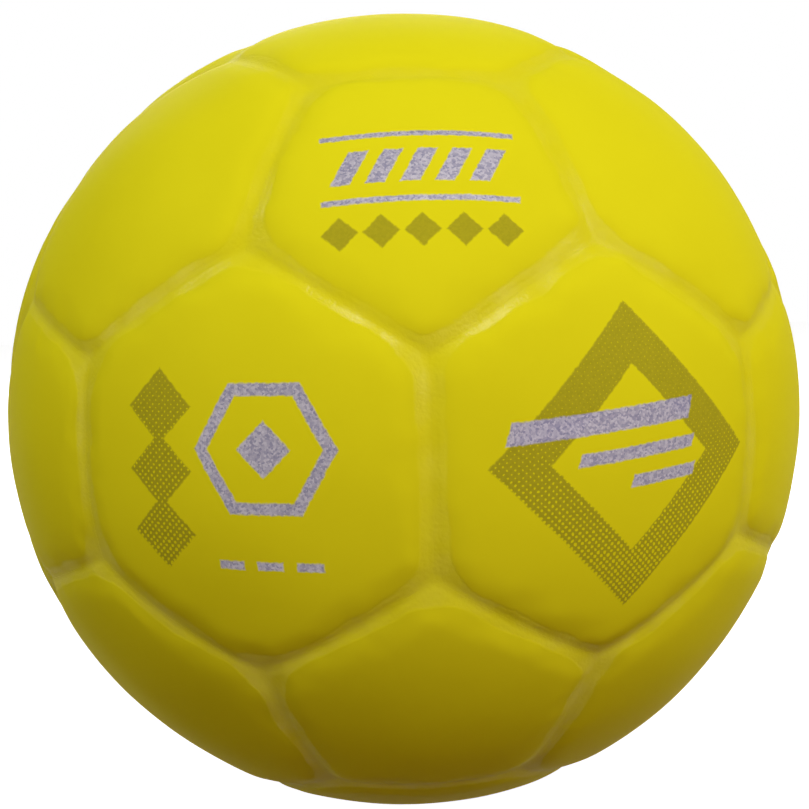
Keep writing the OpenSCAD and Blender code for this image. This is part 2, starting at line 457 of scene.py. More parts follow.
    def _noise(self, tree: Tree, spot: Source, length: Source, least: Source, most: Source) -> Node:
        """Adds smooth noise that is one field over the whole ball, so it runs on across the joints.

        Args:
            tree: The tree that gets it.
            spot: The point on the ball, in metres.
            length: The size of its swells, in metres.
            least: The value in its hollows.
            most: The value on its tops.

        Returns:
            The node with the value.
        """
        scale = add_node(tree, MATH, 1.0, length, operation="DIVIDE")
        noise = add_node(tree, NOISE, named={"Vector": spot, "Scale": scale, "Detail": 1.0})
        return add_node(tree, MAP_RANGE, noise, self.NOISE_LOW, self.NOISE_HIGH, least, most)

    def _strip_tree(self) -> Tree:
        """Builds the group for one strip of the section.

        Returns:
            The group. Its inputs are the panel's, two stations, and how the rings are spread.
        """
        tree, given = new_tree(
            "Panel strip",
            {**PanelSizes.sockets(), "Start": VECTOR, "End": VECTOR, "Rings": INTEGER, "Crowding": FLOAT},
            {"Strip": GEOMETRY},
        )
        size = given.outputs
        turn, station = self._grid_shares(tree, size)
        joint, lined, foot = station.outputs
        half, _, side_angle = self._angles(tree, size["Sides"])
        around = add_node(tree, MATH, turn, math.tau, operation="MULTIPLY")
        sector = add_node(tree, MATH, half, 2.0, operation="MULTIPLY")
        wrapped = add_node(tree, MATH, around, sector, operation="MODULO")
        folded = add_node(tree, MATH, wrapped, half, operation="SUBTRACT")

        wall = add_node(tree, MATH, lined, size["Wall"], operation="MULTIPLY")
        layer = add_node(tree, MATH, wall, size["Outer Layer"], operation="ADD")
        surface = add_node(tree, MATH, size["Ball Radius"], layer, operation="SUBTRACT")
        height = add_node(tree, MATH, surface, size["Inner Radius"], operation="SUBTRACT")
        sunk = add_node(tree, MATH, height, foot, operation="MULTIPLY")
        radius = add_node(tree, MATH, surface, sunk, operation="SUBTRACT")

        inset = add_node(tree, MATH, wall, size["Joint Inset"], operation="ADD")
        inset_angle = add_node(tree, MATH, inset, size["Ball Radius"], operation="DIVIDE")
        reach_angle = add_node(tree, MATH, side_angle, inset_angle, operation="SUBTRACT")
        apothem = add_node(tree, MATH, reach_angle, operation="TANGENT")
        cosine = add_node(tree, MATH, folded, operation="COSINE")
        rim = add_node(tree, MATH, apothem, cosine, operation="DIVIDE")
        hole = add_node(tree, MATH, size["Hole Radius"], radius, operation="DIVIDE")
        span = add_node(tree, MATH, rim, hole, operation="SUBTRACT")
        reach = add_node(tree, MATH, span, joint, hole, operation="MULTIPLY_ADD")

        folded_way = self._direction(tree, reach, folded)
        local_way = self._direction(tree, reach, around)
        turned = add_node(tree, "FunctionNodeAxesToRotation", size["Axis"], size["Corner"],
                          primary_axis="Z", secondary_axis="X")
        ball_way = add_node(tree, "FunctionNodeRotateVector", local_way, turned)
        relief = add_node(tree, "GeometryNodeGroup", node_tree=self.relief,
                          named={"Folded Way": folded_way, "Local Way": local_way, "Ball Way": ball_way})
        self._pass_on(tree, size, relief)
        on_top = add_node(tree, MATH, 1.0, foot, operation="SUBTRACT")
        dip = add_node(tree, MATH, relief.outputs["Dip"], on_top, operation="MULTIPLY")
        height = add_node(tree, MATH, radius, dip, operation="SUBTRACT")
        point = add_node(tree, VECTOR_MATH, ball_way, operation="SCALE", named={"Scale": height})

        steps = add_node(tree, MATH, size["Sides"], size["Segments"], operation="MULTIPLY")
        columns = add_node(tree, MATH, steps, 1.0, operation="ADD")
        rows = add_node(tree, MATH, size["Rings"], 1.0, operation="ADD")
        grid = add_node(tree, "GeometryNodeMeshGrid", 1.0, 1.0, rows, columns)
        marked = add_node(tree, "GeometryNodeStoreNamedAttribute", grid,
                          named={"Name": SEAM, "Value": relief.outputs["Seam"]})
        placed = add_node(tree, "GeometryNodeSetPosition", marked, named={"Position": point})
        add_node(tree, "NodeGroupOutput", placed)
        return tree

    @staticmethod
    def _pass_on(tree: Tree, size: Sockets, group: Node) -> None:
        """Links the panel's sizes to the inputs of the same name on a group.

        Args:
            tree: The tree that holds the group.
            size: The outputs of the tree's group input.
            group: The group's node.
        """
        for name in PanelSizes.sockets():
            tree.links.new(size[name], group.inputs[name])

    @staticmethod
    def _grid_shares(tree: Tree, size: Sockets) -> tuple[Node, Node]:
        """Adds the nodes that turn a unit grid's points into a share round and a station.

        Args:
            tree: The tree that gets them.
            size: The outputs of the tree's group input.

        Returns:
            The node with the share of a full turn, and the node with the station's three shares.
        """
        place = add_node(tree, "GeometryNodeInputPosition")
        across = add_node(tree, SEPARATE, place)
        along = add_node(tree, MATH, across.outputs["X"], 0.5, operation="ADD")
        turn = add_node(tree, MATH, across.outputs["Y"], 0.5, operation="ADD")
        left = add_node(tree, MATH, 1.0, along, operation="SUBTRACT", use_clamp=True)
        crowded = add_node(tree, MATH, left, size["Crowding"], operation="POWER")
        share = add_node(tree, MATH, 1.0, crowded, operation="SUBTRACT")
        step = add_node(tree, VECTOR_MATH, size["End"], size["Start"], operation="SUBTRACT")
        station = add_node(tree, VECTOR_MATH, step, share, size["Start"], operation="MULTIPLY_ADD")
        return turn, add_node(tree, SEPARATE, station)

    @staticmethod
    def _direction(tree: Tree, reach: Node, angle: Node) -> Node:
        """Adds the nodes for a direction from the ball's centre, about a panel's axis.

        Args:
            tree: The tree that gets them.
            reach: The node with the distance from the axis, in a plane at distance 1.
            angle: The node with the angle round the axis.

        Returns:
            The node with the unit vector.
        """
        cosine = add_node(tree, MATH, angle, operation="COSINE")
        sine = add_node(tree, MATH, angle, operation="SINE")
        x = add_node(tree, MATH, reach, cosine, operation="MULTIPLY")
        y = add_node(tree, MATH, reach, sine, operation="MULTIPLY")
        flat = add_node(tree, COMBINE, x, y, 1.0)
        return add_node(tree, VECTOR_MATH, flat, operation="NORMALIZE")

    def _panel_tree(self, name: str, section: tuple[Station, ...], rings: tuple[int, ...]) -> Tree:
        """Builds the modifier's tree from one strip for each stretch of the section.

        Args:
            name: The tree's name.
            section: The stations round the section, in order.
            rings: Ring counts of the strips. The last closes the section inside a hole.

        Returns:
            The tree.
        """
        tree, given = new_tree(name, {**PanelSizes.sockets(), "Finish": MATERIAL}, {"Geometry": GEOMETRY})
        tree.is_modifier = True
        size = given.outputs
        strips = []
        for index, count in enumerate(rings):
            start, end = section[index], section[(index + 1) % len(section)]
            crowding = self.RIM_CROWDING if start is Station.CROWN else 1.0
            strip = add_node(tree, "GeometryNodeGroup", node_tree=self.strip,
                             named={"Start": start.value, "End": end.value, "Rings": count,
                                    "Crowding": crowding})
            self._pass_on(tree, size, strip)
            strips.append(strip)
        has_hole = add_node(tree, MATH, size["Hole Radius"], 0.0, operation="GREATER_THAN")
        strips[-1] = add_node(tree, "GeometryNodeSwitch", has_hole, None, strips[-1],
                              input_type="GEOMETRY")
        joined = add_node(tree, "GeometryNodeJoinGeometry")
        for strip in strips:
            tree.links.new(strip.outputs[0], joined.inputs[0])
        closed = add_node(tree, "GeometryNodeMergeByDistance", joined, named={"Distance": self.MERGE})
        smooth = add_node(tree, "GeometryNodeSetShadeSmooth", closed)
        angle = add_node(tree, "GeometryNodeInputMeshEdgeAngle")
        sharp = add_node(tree, MATH, angle, self.CREASE, operation="GREATER_THAN")
        creased = add_node(tree, "GeometryNodeStoreNamedAttribute", smooth, data_type="BOOLEAN",
                           domain="EDGE", named={"Name": "sharp_edge", "Value": sharp})
        real = add_node(tree, "GeometryNodeRealizeInstances", creased)
        dressed = add_node(tree, "GeometryNodeSetMaterial", real, named={"Material": size["Finish"]})
        add_node(tree, "NodeGroupOutput", dressed)
        return tree

    def mesh(self, name: str, sizes: PanelSizes, finish: bpy.types.Material) -> bpy.types.Mesh:
        """Evaluates the tree once.

        Args:
            name: The new mesh's name.
            sizes: What the tree is told.
            finish: The material of all its faces.

        Returns:
            A plain mesh.
        """
        values = {**sizes.inputs(), "Finish": finish}
        holder = bpy.data.objects.new(name, bpy.data.meshes.new(name))
        bpy.context.scene.collection.objects.link(holder)
        modifier = holder.modifiers.new("Panel", "NODES")
        modifier.node_group = self.tree
        for item in self.tree.interface.items_tree:
            if item.in_out == "INPUT":
                modifier[item.identifier] = values[item.name]
        graph = bpy.context.evaluated_depsgraph_get()
        made = bpy.data.meshes.new_from_object(holder.evaluated_get(graph), depsgraph=graph)
        made.name = name
        bpy.data.objects.remove(holder)
        return made


# Finishes


def blend(tree: Tree, share: Source, first: Source, second: Source) -> Socket:
    """Adds the nodes that go from one colour to another.

    Args:
        tree: The tree that gets them.
        share: How far to go, from 0 to 1.
        first: The colour at 0.
        second: The colour at 1.

    Returns:
        The socket with the colour.
    """
    mixed = add_node(tree, MIX, share, data_type="RGBA")
    for socket, source in ((MIX_FIRST, first), (MIX_SECOND, second)):
        if isinstance(source, Socket):
            tree.links.new(source, mixed.inputs[socket])
        else:
            mixed.inputs[socket].default_value = source
    return mixed.outputs[MIX_RESULT]


def new_finish(name: str, roughness: float, ior: float) -> tuple[bpy.types.Material, Tree, Node, Socket]:
    """Starts a material whose patterns are laid out in the ball's own Object coordinates.

    Args:
        name: What the real material is.
        roughness: Its roughness.
        ior: Its index of refraction.

    Returns:
        The material, its node tree, its shader, and the socket with the place on the ball.
    """
    made = bpy.data.materials.new(name)
    made.use_nodes = True
    tree = made.node_tree
    shader = tree.nodes["Principled BSDF"]
    shader.inputs["Roughness"].default_value = roughness
    shader.inputs["IOR"].default_value = ior
    return made, tree, shader, add_node(tree, "ShaderNodeTexCoord").outputs["Object"]


@dataclass(frozen=True)
class Motif:
    """A plain figure in a print, by the place of its middle, in metres to the right and up."""

    centre: tuple[float, float]

    def distance(self, tree: Tree, right: Source, up: Source) -> Node:
        """Adds the nodes for the distance to the figure's edge, which is negative inside it.

        Args:
            tree: The tree that gets them.
            right: The socket with the place to the right of the panel's middle, in metres.
            up: The socket with the place above it.

        Returns:
            The node with the distance.
        """
        x = add_node(tree, MATH, right, self.centre[0], operation="SUBTRACT")
        y = add_node(tree, MATH, up, self.centre[1], operation="SUBTRACT")
        return self._edge(tree, x, y)

    def _edge(self, tree: Tree, x: Node, y: Node) -> Node:
        """Adds the figure's own nodes, from the places about its middle."""
        raise NotImplementedError


@dataclass(frozen=True)
class Bar(Motif):
    """A level bar whose ends can slant."""

    length: float
    width: float
    slant: float = 0.0

    def _edge(self, tree: Tree, x: Node, y: Node) -> Node:
        """Adds the nodes for the larger of the distances to the ends and to the long sides."""
        leaned = add_node(tree, MATH, y, -self.slant, x, operation="MULTIPLY_ADD")
        along = add_node(tree, MATH, leaned, operation="ABSOLUTE")
        across = add_node(tree, MATH, y, operation="ABSOLUTE")
        ends = add_node(tree, MATH, along, self.length / 2, operation="SUBTRACT")
        sides = add_node(tree, MATH, across, self.width / 2, operation="SUBTRACT")
        return add_node(tree, MATH, ends, sides, operation="MAXIMUM")


class Outline(Enum):
    """The outlines of printed frames, by their number of sides."""

    DIAMOND = 4
    HEXAGON = 6


@dataclass(frozen=True)
class Frame(Motif):
    """A band inside an outline, which it fills if no width is given. Its reach is out to its sides."""

    outline: Outline
    reach: float
    width: float | None = None

    def _edge(self, tree: Tree, x: Node, y: Node) -> Node:
        """Adds the nodes for the distance to the band's nearer edge."""
        width = self.width or 2 * self.reach
        sides = self.outline.value
        place = add_node(tree, COMBINE, x, y)
        furthest = 0.0
        for side in range(sides // 2):
            angle = math.pi * (2 * side + 1) / sides
            normal = (math.cos(angle), math.sin(angle), 0.0)
            height = add_node(tree, VECTOR_MATH, place, normal, operation="DOT_PRODUCT").outputs["Value"]
            span = add_node(tree, MATH, height, operation="ABSOLUTE")
            furthest = add_node(tree, MATH, span, furthest, operation="MAXIMUM")
        middle = add_node(tree, MATH, furthest, self.reach - width / 2, operation="SUBTRACT")
        off = add_node(tree, MATH, middle, operation="ABSOLUTE")
        return add_node(tree, MATH, off, width / 2, operation="SUBTRACT")


@dataclass(frozen=True)
class Ink:
    """Screen ink: silver with coarse flecks that catch the light, or a thin olive that the skin dulls."""

    colour: str
    fleck_colour: str
    cover: float
    fleck_share: float
    metal: float = 0.0
    dot_pitch: float = 0.0
    # Real flecks are finer. These are as coarse as it takes for them to show.
    fleck_size: float = 0.38 * MM

    def flecked(self, tree: Tree, place: Socket) -> Socket:
        """Adds the nodes for the ink's colour, which changes from fleck to fleck.

        Args:
            tree: The tree that gets them.
            place: The socket with the ball's Object coordinates.

        Returns:
            The socket with the colour.
        """
        flecks = add_node(tree, CELLS, named={"Vector": place, "Scale": 1 / self.fleck_size})
        tone = add_node(tree, SEPARATE, flecks.outputs["Color"])
        share = add_node(tree, MATH, tone, self.fleck_share, operation="MULTIPLY")
        return blend(tree, share, linear(self.colour), linear(self.fleck_colour))


@dataclass(frozen=True)
class Print:
    """One ink's figures on one panel, which the panel's axis and a direction up lay out."""

    axis: Vector
    ink: Ink
    motifs: tuple[Motif, ...]
    turn: float = 0.0
    soft_edge: float = 0.16 * MM
    rag: float = 0.5 * MM
    rag_size: float = 0.9 * MM
    least_facing: float = 0.8
    solid_above: float = 6.0 * MM
    dotted_below: float = -18.0 * MM
    dot_lifts: tuple[float, float] = (1.1, 0.35)
    dot_edge: float = 0.3

    def mask(self, tree: Tree, place: Socket, ball_radius: float) -> Node:
        """Adds the nodes for the ink's share of the surface.

        Args:
            tree: The tree that gets them.
            place: The socket with the ball's Object coordinates.
            ball_radius: The ball's radius, in metres.

        Returns:
            The node that is 1 on ink.
        """
        level = Vector((0.0, 0.0, 1.0)).cross(self.axis).normalized()
        level.rotate(Quaternion(self.axis, math.radians(self.turn)))
        shake = add_node(tree, NOISE, named={"Vector": place, "Scale": 1 / self.rag_size, "Detail": 1.0})
        rag = add_node(tree, VECTOR_MATH, shake.outputs["Color"], NOISE_MIDDLE, operation="SUBTRACT")
        spot = add_node(tree, VECTOR_MATH, rag, (self.rag,) * 3, place, operation="MULTIPLY_ADD")
        right, up, out = (add_node(tree, VECTOR_MATH, spot, way, operation="DOT_PRODUCT").outputs["Value"]
                          for way in (level, self.axis.cross(level), self.axis))
        nearest = self.motifs[0].distance(tree, right, up)
        for motif in self.motifs[1:]:
            nearest = add_node(tree, MATH, nearest, motif.distance(tree, right, up), operation="MINIMUM")
        inked = add_node(tree, MAP_RANGE, nearest, -self.soft_edge, self.soft_edge, 1.0, 0.0)
        facing = add_node(tree, MATH, out, self.least_facing * ball_radius, operation="GREATER_THAN")
        inked = add_node(tree, MATH, inked, facing, operation="MULTIPLY")
        if self.ink.dot_pitch:
            inked = add_node(tree, MATH, inked, self._dots(tree, right, up), operation="MULTIPLY")
        return inked

    def _dots(self, tree: Tree, right: Source, up: Source) -> Node:
        """Adds the nodes for a screen of dots that is solid at the top and opens downwards.

        Args:
            tree: The tree that gets them.
            right: The socket with the place to the right.
            up: The socket with the place above.

        Returns:
            The node that is 1 on a dot.
        """
        frequency = math.pi / self.ink.dot_pitch
        waves = []
        for way in (right, up):
            phase = add_node(tree, MATH, way, frequency, operation="MULTIPLY")
            waves.append(add_node(tree, MATH, phase, operation="SINE"))
        screen = add_node(tree, MATH, *waves, operation="MULTIPLY")
        opened = add_node(tree, MAP_RANGE, up, self.solid_above, self.dotted_below, *self.dot_lifts)
        filled = add_node(tree, MATH, screen, opened, operation="ADD")
        return add_node(tree, MAP_RANGE, filled, 0.0, self.dot_edge, 0.0, 1.0)


@dataclass(frozen=True)
class FoamedSkin:
    """Foamed PVC, moulded soft and left satin: a bright, even colour with no hard glints.

    Where it is rolled down to a seam the skin is stretched smoother and catches the lamps: a pale
    band, with small glints, on the side that faces the light. The band's own IOR is set high, so
    that it shines nearly as much head-on as at the edge of the ball.
    """

    prints: tuple[Print, ...]
    ball_radius: float
    colour: str = "#EFE91B"
    deep_colour: str = "#E7E017"
    patch_size: float = 26 * MM
    roughness: float = 0.56
    ior: float = 1.5
    gloss: float = 0.01
    sheen_tint: str = "#FFF2A0"
    # Painted shade: near the joints the skin's colour goes towards this darker one, as shade in the
    # grooves.
    groove_shade_colour: str = "#E4DD19"
    groove_shade_shares: tuple[float, float] = (0.1, 0.75)
    seam_shares: tuple[float, float] = (0.42, 0.52)
    seam_gloss: float = 0.027
    seam_ior: float = 4.0
    seam_roughness: float = 0.22
    lip_rag: float = 0.12
    glint_size: float = 0.7 * MM
    glint_depth: float = 0.07 * MM
    worn_span: tuple[float, float] = (0.3, 0.7)
    worn_shares: tuple[float, float] = (0.3, 1.7)
    grain_size: float = 0.55 * MM
    grain_depth: float = 0.012 * MM
    crease_size: float = 5.0 * MM
    crease_depth: float = 0.04 * MM
    crease_twist: float = 0.6

    def material(self) -> bpy.types.Material:
        """Makes the material.

        Returns:
            The material, which reads the panels' attribute for how far the skin is rolled down.
        """
        made, tree, shader, place = new_finish("foamed PVC skin", self.roughness, self.ior)
        shader.inputs["Specular IOR Level"].default_value = self.gloss
        shader.inputs["Specular Tint"].default_value = linear(self.sheen_tint)
        shader.inputs["Coat Roughness"].default_value = self.seam_roughness
        shader.inputs["Coat IOR"].default_value = self.seam_ior
        rolled = add_node(tree, "ShaderNodeAttribute", attribute_name=SEAM).outputs["Fac"]
        glints = add_node(tree, NOISE, named={"Vector": place, "Scale": 1 / self.glint_size, "Detail": 1.0})
        ragged = add_node(tree, MATH, glints, self.lip_rag, rolled, operation="MULTIPLY_ADD")
        low, high = (share + self.lip_rag / 2 for share in self.seam_shares)
        seam = add_node(tree, MAP_RANGE, ragged, low, high, 0.0, 1.0, interpolation_type="SMOOTHSTEP")
        self._colour(tree, shader, place, rolled)
        self._shine(tree, shader, place, seam)
        self._unevenness(tree, shader, place, seam, glints)
        return made

    def _colour(self, tree: Tree, shader: Node, place: Socket, rolled: Socket) -> None:
        """Adds the nodes for the dyed skin, a painted shade that darkens it towards the joints, and the
        prints on it.

        Args:
            tree: The tree that gets them.
            shader: The material's shader.
            place: The socket with the ball's Object coordinates.
            rolled: The socket with how far the skin is rolled down.
        """
        patches = add_node(tree, NOISE, named={"Vector": place, "Scale": 1 / self.patch_size,
                                               "Detail": 3.0})
        colour = blend(tree, patches, linear(self.colour), linear(self.deep_colour))
        # Painted shade: the colour darkens towards each joint, down in the groove.
        groove_shade = add_node(tree, MAP_RANGE, rolled, *self.groove_shade_shares, 0.0, 1.0,
                          interpolation_type="SMOOTHSTEP")
        colour = blend(tree, groove_shade, colour, linear(self.groove_shade_colour))
        metal = 0.0
        for each in self.prints:
            inked = each.mask(tree, place, self.ball_radius)
            share = add_node(tree, MATH, inked, each.ink.cover, operation="MULTIPLY")
            colour = blend(tree, share, colour, each.ink.flecked(tree, place))
            metal = add_node(tree, MATH, inked, each.ink.metal, metal, operation="MULTIPLY_ADD")
        tree.links.new(colour, shader.inputs["Base Color"])
        tree.links.new(metal.outputs[0], shader.inputs["Metallic"])

    def _shine(self, tree: Tree, shader: Node, place: Socket, seam: Node) -> None:
        """Adds the nodes for the shine of the stretched band, which is worn in places.

        Args:
            tree: The tree that gets them.
            shader: The material's shader.
            place: The socket with the ball's Object coordinates.
            seam: The node that is 1 in the band.
        """
        worn = add_node(tree, NOISE, named={"Vector": place, "Scale": 1 / self.crease_size, "Detail": 3.0})
        least, most = (share * self.seam_gloss for share in self.worn_shares)
        patchy = add_node(tree, MAP_RANGE, worn, *self.worn_span, least, most)
        glossy = add_node(tree, MATH, seam, patchy, operation="MULTIPLY")
        tree.links.new(glossy.outputs[0], shader.inputs["Coat Weight"])

    def _unevenness(self, tree: Tree, shader: Node, place: Socket, seam: Node, glints: Node) -> None:
        """Adds the nodes for the band's rough bottom, the skin's grain and its shallow creases.

        Args:
            tree: The tree that gets them.
            shader: The material's shader.
            place: The socket with the ball's Object coordinates.
            seam: The node that is 1 in the band.
            glints: The node with the band's fine unevenness.
        """
        sunk = add_node(tree, MATH, glints, 1.0, operation="SUBTRACT")
        pressed = add_node(tree, MATH, sunk, seam, operation="MULTIPLY")
        grain = add_node(tree, NOISE, named={"Vector": place, "Scale": 1 / self.grain_size, "Detail": 2.0})
        creases = add_node(tree, NOISE, named={"Vector": place, "Scale": 1 / self.crease_size,
                                               "Detail": 2.0, "Distortion": self.crease_twist})
        surface = add_node(tree, BUMP, named={"Height": pressed, "Distance": self.glint_depth,
                                              "Strength": 1.0})
        tree.links.new(surface.outputs[0], shader.inputs["Coat Normal"])
        for height, depth in ((grain, self.grain_depth), (creases, self.crease_depth)):
            surface = add_node(tree, BUMP, named={"Height": height, "Distance": depth, "Strength": 1.0,
                                                  "Normal": surface})
        tree.links.new(surface.outputs[0], shader.inputs["Normal"])


@dataclass(frozen=True)
class Rubber:
    """Moulded rubber with a fine matt bloom: nearly flat to the light, with a faint grain."""

    name: str
    colour: str
    bloom_colour: str
    roughness: float = 0.65
    ior: float = 1.52
    bloom_size: float = 6.0 * MM
    # The grain of real moulded rubber is finer. This is as coarse as it takes for it to show.
    grain_size: float = 0.5 * MM
    grain_depth: float = 0.01 * MM

    def material(self) -> bpy.types.Material:
        """Makes the material.

        Returns:
            The material.
        """
        made, tree, shader, place = new_finish(self.name, self.roughness, self.ior)
        bloom = add_node(tree, NOISE, named={"Vector": place, "Scale": 1 / self.bloom_size, "Detail": 4.0})
        colour = blend(tree, bloom, linear(self.colour), linear(self.bloom_colour))
        tree.links.new(colour, shader.inputs["Base Color"])
        grain = add_node(tree, NOISE, named={"Vector": place, "Scale": 1 / self.grain_size, "Detail": 2.0})
        bump = add_node(tree, BUMP, named={"Height": grain, "Distance": self.grain_depth, "Strength": 1.0})
        tree.links.new(bump.outputs[0], shader.inputs["Normal"])
        return made


@dataclass(frozen=True)
class ClosedCellFoam:
    """Cast EVA foam, cut from a sheet: matt and off-white, with closed cells that pit its surface."""

    colour: str = "#EFEBDD"
    cell_colour: str = "#DDD7C4"
    roughness: float = 0.85
    ior: float = 1.48
    # Real cells are finer. These are as coarse as it takes for them to show.
    cell_size: float = 0.4 * MM
    cell_depth: float = 0.06 * MM

    def material(self) -> bpy.types.Material:
        """Makes the material.

        Returns:
            The material.
        """
        made, tree, shader, place = new_finish("EVA closed-cell foam", self.roughness, self.ior)
        cells = add_node(tree, CELLS, named={"Vector": place, "Scale": 1 / self.cell_size})
        height = cells.outputs["Distance"]
        colour = blend(tree, height, linear(self.cell_colour), linear(self.colour))
        tree.links.new(colour, shader.inputs["Base Color"])
        pits = add_node(tree, BUMP, named={"Height": height, "Distance": self.cell_depth, "Strength": 1.0})
        tree.links.new(pits.outputs[0], shader.inputs["Normal"])
        return made


@dataclass(frozen=True)
class WoundThread:
    """Nylon thread wound every way in latex: pale, round cords that cross, and duller latex between."""

    colour: str = "#E9E6DA"
    latex_colour: str = "#A89A7C"
    roughness: float = 0.5
    ior: float = 1.53
    # Real thread is about 0.5 mm thick. These cords are as coarse as it takes for them to show.
    pitch: float = 1.6 * MM
    depth: float = 0.25 * MM
    crest_shares: tuple[float, float] = (0.7, 0.95)
    drift: float = 5.0 * MM
    drift_size: float = 60.0 * MM
    pole_shares: tuple[float, float] = (0.55, 0.75)
    ways: tuple[tuple[float, float, float], ...] = (
        (0.96, 0.0, 0.28), (0.2, 0.98, 0.0), (0.1, 0.37, 0.92), (-0.67, 0.57, 0.48))

    def material(self) -> bpy.types.Material:
        """Makes the material.

        Returns:
            The material, with one set of parallel cords for each way.
        """
        made, tree, shader, place = new_finish("nylon thread in latex", self.roughness, self.ior)
        drift = add_node(tree, NOISE, named={"Vector": place, "Scale": 1 / self.drift_size, "Detail": 0.0})
        spot = add_node(tree, VECTOR_MATH, drift.outputs["Color"], (self.drift,) * 3, place,
                        operation="MULTIPLY_ADD")
        outward = add_node(tree, VECTOR_MATH, place, operation="NORMALIZE")
        top = 0.0
        for way in self.ways:
            cord = self._cords(tree, spot, outward, way)
            top = add_node(tree, MATH, cord, top, operation="MAXIMUM")
        shown = add_node(tree, MAP_RANGE, top, *self.crest_shares, 0.0, 1.0)
        colour = blend(tree, shown, linear(self.latex_colour), linear(self.colour))
        tree.links.new(colour, shader.inputs["Base Color"])
        bump = add_node(tree, BUMP, named={"Height": top, "Distance": self.depth, "Strength": 1.0})
        tree.links.new(bump.outputs[0], shader.inputs["Normal"])
        return made

    def _cords(self, tree: Tree, spot: Node, outward: Node, way: tuple[float, float, float]) -> Node:
        """Adds the nodes for the cords wound across one way, which fade out where it leaves the ball.

        Args:
            tree: The tree that gets them.
            spot: The node with the drifting place on the ball.
            outward: The node with the direction from the centre.
            way: The way, as a unit vector.

        Returns:
            The node with the cords' height, as a share.
        """
        across = add_node(tree, VECTOR_MATH, spot, way, operation="DOT_PRODUCT").outputs["Value"]
        phase = add_node(tree, MATH, across, math.pi / self.pitch, operation="MULTIPLY")
        wave = add_node(tree, MATH, phase, operation="SINE")
        cord = add_node(tree, MATH, wave, operation="ABSOLUTE")
        towards = add_node(tree, VECTOR_MATH, outward, way, operation="DOT_PRODUCT").outputs["Value"]
        turned = add_node(tree, MATH, towards, operation="ABSOLUTE")
        kept = add_node(tree, MAP_RANGE, turned, *self.pole_shares, 1.0, 0.0)
        return add_node(tree, MATH, cord, kept, operation="MULTIPLY")


# The sub-assemblies


@dataclass
class Cover:
    """The 32 panels and the foam pads behind their skins."""

    layers: Layers
    relief: Relief
    skin: FoamedSkin
    foam: ClosedCellFoam
    rings: int = 56
    steps_per_side: int = 48
    wall_rings: int = 3
    pad_rings: int = 10
    pad_steps_per_side: int = 12

    def build(self, places: list[Place]) -> None:
        """Builds and dresses every panel.

        Args:
            places: Where the panels sit.
        """
        skin_tree = PanelTree(
            "Puffed panel",
            (Station.CROWN, Station.RIM, Station.FOOT, Station.LINING_FOOT, Station.LINING_RIM,
             Station.LINING_CROWN),
            (self.rings, self.wall_rings, 1, self.wall_rings, self.pad_rings, 1),
        )
        finish = self.skin.material()
        for node in self._panels():
            name = f"{node}_skin"
            mesh = skin_tree.mesh(name, self._sizes(node, places), finish)
            self._hand_over(name, mesh, node, "cover_skin")
        self._pads(places)

    @staticmethod
    def _panels() -> list[str]:
        """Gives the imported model's nodes of the panels, in order."""
        return sorted(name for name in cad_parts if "panel" in name)

    def _pads(self, places: list[Place]) -> None:
        """Builds the foam pads behind the skins, as one piece for each outline.

        Args:
            places: Where the panels sit.
        """
        tree = PanelTree("Foam pad", (Station.CROWN, Station.RIM, Station.FOOT, Station.FOOT_MIDDLE),
                         (self.pad_rings, self.wall_rings, self.pad_rings, self.wall_rings))
        finish = self.foam.material()
        lining = self.layers.skin + self.layers.glue_film
        inset = self.layers.joint_gap / 2 + lining
        for kind in PanelKind:
            node = f"{kind.name.lower()}_foam_pads"
            joined = bmesh.new()
            for panel in self._panels():
                sizes = self._sizes(panel, places)
                if sizes.sides == kind.value:
                    pad = replace(sizes, segments=self.pad_steps_per_side, wall=0.0, outer_layer=lining,
                                  joint_inset=inset)
                    joined.from_mesh(tree.mesh(node, pad, finish))
            mesh = bpy.data.meshes.new(f"{node}_foam")
            joined.to_mesh(mesh)
            joined.free()
            mesh.materials.append(finish)
            self._hand_over(mesh.name, mesh, node, "foam")

    def _sizes(self, node: str, places: list[Place]) -> PanelSizes:
        """Gives what the tree is told for one panel.

        Args:
            node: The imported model's node for that panel.
            places: Where the panels sit.

        Returns:
            The sizes.
        """
        low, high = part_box(node)
        place = max(places, key=lambda each: each.axis.dot(low + high))
        layers = self.layers
        sizes = PanelSizes(
            **asdict(self.relief), sides=place.kind.value, segments=self.steps_per_side,
            ball_radius=layers.ball_radius, inner_radius=layers.inner_radius, wall=layers.skin,
            axis=place.axis, corner=place.corner,
        )
        if node == VALVE_PANEL:
            sizes = replace(sizes, hole_radius=layers.valve_hole, dimple_depth=layers.valve_dimple)
        return sizes

    @staticmethod
    def _hand_over(name: str, mesh: bpy.types.Mesh, node: str, slot: str) -> None:
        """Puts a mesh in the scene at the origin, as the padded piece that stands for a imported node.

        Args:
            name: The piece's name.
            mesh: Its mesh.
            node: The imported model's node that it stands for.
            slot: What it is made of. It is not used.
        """
        piece = bpy.data.objects.new(name, mesh)
        bpy.context.scene.collection.objects.link(piece)
        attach(piece, "root")
        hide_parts(node)
        LOG.info("%s: %d faces", piece.name, len(piece.data.polygons))


@dataclass(frozen=True)
class InnerParts:
    """The layers under the cover, and the valve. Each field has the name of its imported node."""

    rubber_carcass: Rubber = Rubber("natural rubber, moulded black", "#1B1A19", "#2A2826")
    bladder: Rubber = Rubber("butyl rubber", "#262424", "#343130", roughness=0.5)
    valve_housing: Rubber = Rubber("moulded valve rubber", "#161616", "#242322")
    valve_core: Rubber = Rubber("grey valve rubber", "#4A4A4C", "#5A5A5B")
    thread_winding: WoundThread = WoundThread()

    def build(self) -> None:
        """Gives the nodes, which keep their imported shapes, their finishes."""
        for part in fields(self):
            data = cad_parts[part.name].data
            data.materials.clear()
            data.materials.append(getattr(self, part.name).material())
            LOG.info("%s: %s", part.name, data.materials[0].name)


# The studio


